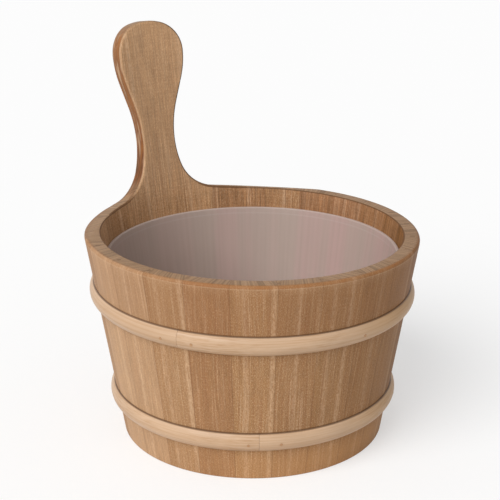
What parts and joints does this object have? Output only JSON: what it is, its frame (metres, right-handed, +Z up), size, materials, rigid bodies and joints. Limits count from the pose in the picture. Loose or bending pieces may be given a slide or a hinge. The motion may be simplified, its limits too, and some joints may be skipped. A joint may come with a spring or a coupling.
{
  "type": "wooden piggin",
  "caption": "Coopered wooden pail of tapered staves held by half-round wooden hoops, with a long stave shaped into an upright handle and a lift-out liner.",
  "frame": {"origin": "on the pail's axis, in the plane that the ends of the staves stand on", "axes": "+Z up along the pail's axis, +Y from the axis towards the handle stave"},
  "size_m": [0.2391, 0.2606, 0.2811],
  "materials": {
    "stave_wood": "planed, thin clear oil",
    "hoop_wood": "sanded, thin satin varnish",
    "brad_steel": "dulled wire",
    "liner_plastic": "natural, translucent"
  },
  "bodies": {
    "pail": {"handle_stave": "stave_wood", "stave_01": "stave_wood", "stave_02": "stave_wood", "stave_03": "stave_wood", "stave_04": "stave_wood", "stave_05": "stave_wood", "stave_06": "stave_wood", "stave_07": "stave_wood", "stave_08": "stave_wood", "stave_09": "stave_wood", "stave_10": "stave_wood", "stave_11": "stave_wood", "stave_12": "stave_wood", "stave_13": "stave_wood", "stave_14": "stave_wood", "stave_15": "stave_wood", "stave_16": "stave_wood", "stave_17": "stave_wood", "stave_18": "stave_wood", "stave_19": "stave_wood", "stave_20": "stave_wood", "bottom_board_1": "stave_wood", "bottom_board_2": "stave_wood", "bottom_board_3": "stave_wood", "bottom_board_4": "stave_wood", "upper_hoop": "hoop_wood", "lower_hoop": "hoop_wood", "hoop_brads": "brad_steel"},
    "liner": {"liner": "liner_plastic"}
  },
  "joints": [
    {"name": "liner_lift", "type": "slide", "parent": "pail", "child": "liner", "axis": [0, 0, 1], "range_m": [0, 0.14]}
  ]
}
